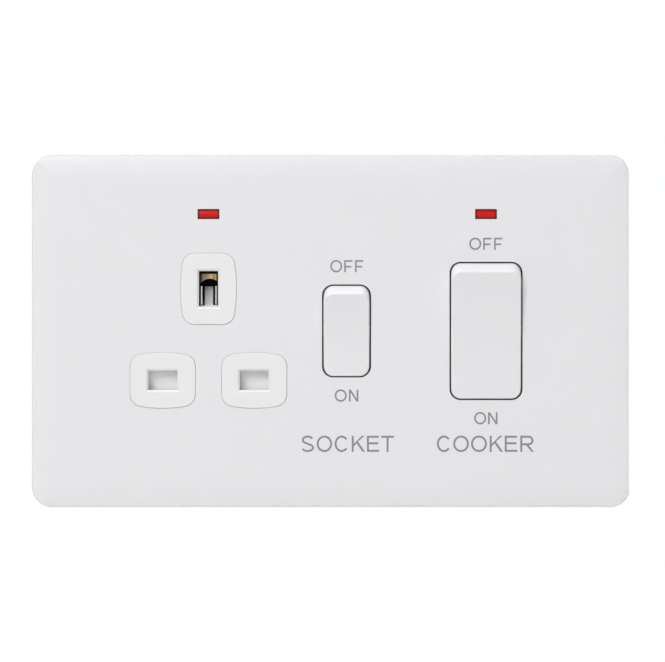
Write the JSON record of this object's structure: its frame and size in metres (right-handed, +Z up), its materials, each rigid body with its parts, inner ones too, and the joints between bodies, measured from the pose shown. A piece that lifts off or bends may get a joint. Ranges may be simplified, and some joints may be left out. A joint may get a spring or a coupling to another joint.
{
  "type": "cooker control unit",
  "caption": "Wall-mounted cooker control unit with a three-pin socket outlet, rocker switches and neon indicators on a rounded white plate.",
  "frame": {"origin": "centre of the two box-fixing holes, on the wall plane at the back of the steel frame", "axes": "+X to the right and +Z up as seen from the front, +Y into the wall, the face looks towards -Y"},
  "size_m": [0.146, 0.038, 0.086],
  "materials": {
    "white_thermoset": "gloss white moulded urea cover",
    "white_moulding": "gloss white moulded socket face",
    "white_rocker": "gloss white polycarbonate rockers",
    "dark_carrier": "satin dark grey moulded nylon",
    "white_shutter": "satin white moulded nylon",
    "housing_thermoset": "matt near-black moulded housing",
    "zinc_steel": "bright zinc plated steel",
    "contact_brass": "rolled and machined brass",
    "contact_copper": "rolled copper strip",
    "silver_tip": "silver alloy contact rivet",
    "nylon": "natural nylon",
    "spring_steel": "bright drawn spring wire",
    "red_lens": "clear red polycarbonate",
    "lamp_glass": "clear glass bulb",
    "resistor_enamel": "matt enamel"
  },
  "bodies": {
    "base": {"front_cover": "white_thermoset", "mounting_frame": "zinc_steel", "socket_face": "white_moulding", "switch_carrier": "dark_carrier", "rear_housing": "housing_thermoset", "socket_fulcrum": "contact_brass", "cooker_live_fulcrum": "contact_brass", "cooker_neutral_fulcrum": "contact_brass", "cooker_live_fixed_contact": "contact_brass", "cooker_neutral_fixed_contact": "contact_brass", "fixed_contact_tips": "silver_tip", "socket_live_link": "contact_copper", "live_busbar": "contact_copper", "neutral_busbar": "contact_copper", "live_pin_contact": "contact_brass", "neutral_pin_contact": "contact_brass", "earth_contact": "contact_brass", "earth_strap": "contact_brass", "shutter_spring": "spring_steel", "supply_live_terminal": "contact_brass", "supply_neutral_terminal": "contact_brass", "load_live_terminal": "contact_brass", "load_neutral_terminal": "contact_brass", "supply_earth_terminal": "contact_brass", "load_earth_terminal": "contact_brass", "clamp_screws": "zinc_steel", "housing_screws": "zinc_steel", "socket_neon_lens": "red_lens", "socket_neon_lamp": "lamp_glass", "socket_neon_resistor": "resistor_enamel", "cooker_neon_lens": "red_lens", "cooker_neon_lamp": "lamp_glass", "cooker_neon_resistor": "resistor_enamel"},
    "socket_rocker": {"socket_rocker": "white_rocker", "socket_plunger": "nylon", "socket_plunger_spring": "spring_steel"},
    "socket_contact_arm": {"socket_contact_arm": "contact_copper", "socket_arm_tip": "silver_tip"},
    "cooker_rocker": {"cooker_rocker": "white_rocker", "cooker_live_plunger": "nylon", "cooker_live_plunger_spring": "spring_steel", "cooker_neutral_plunger": "nylon", "cooker_neutral_plunger_spring": "spring_steel"},
    "cooker_live_contact_arm": {"cooker_live_contact_arm": "contact_copper", "cooker_live_arm_tip": "silver_tip"},
    "cooker_neutral_contact_arm": {"cooker_neutral_contact_arm": "contact_copper", "cooker_neutral_arm_tip": "silver_tip"},
    "shutter": {"shutter": "white_shutter"}
  },
  "joints": [
    {"name": "socket_switch", "type": "hinge", "parent": "base", "child": "socket_rocker", "pos_m": [0.00371, -0.002, 0], "axis": [1, 0, 0], "range_deg": [-14.8, 0]},
    {"name": "socket_arm_tilt", "type": "hinge", "parent": "base", "child": "socket_contact_arm", "pos_m": [0.00371, 0.01165, 0], "axis": [1, 0, 0], "range_deg": [0, 14.8]},
    {"name": "cooker_switch", "type": "hinge", "parent": "base", "child": "cooker_rocker", "pos_m": [0.0376, -0.002, 0], "axis": [1, 0, 0], "range_deg": [-14.8, 0]},
    {"name": "cooker_live_arm_tilt", "type": "hinge", "parent": "base", "child": "cooker_live_contact_arm", "pos_m": [0.0329, 0.01165, 0], "axis": [1, 0, 0], "range_deg": [0, 14.8]},
    {"name": "cooker_neutral_arm_tilt", "type": "hinge", "parent": "base", "child": "cooker_neutral_contact_arm", "pos_m": [0.0423, 0.01165, 0], "axis": [1, 0, 0], "range_deg": [0, 14.8]},
    {"name": "shutter_slide", "type": "slide", "parent": "base", "child": "shutter", "axis": [0, 0, -1], "range_m": [0, 0.005], "stiffness_N_per_m": 200, "springref_m": -0.005, "deforming": ["shutter_spring"]}
  ],
  "couplings": [
    {"joint": "socket_arm_tilt", "follows": "socket_switch", "ratio": -1},
    {"joint": "cooker_live_arm_tilt", "follows": "cooker_switch", "ratio": -1},
    {"joint": "cooker_neutral_arm_tilt", "follows": "cooker_switch", "ratio": -1}
  ]
}
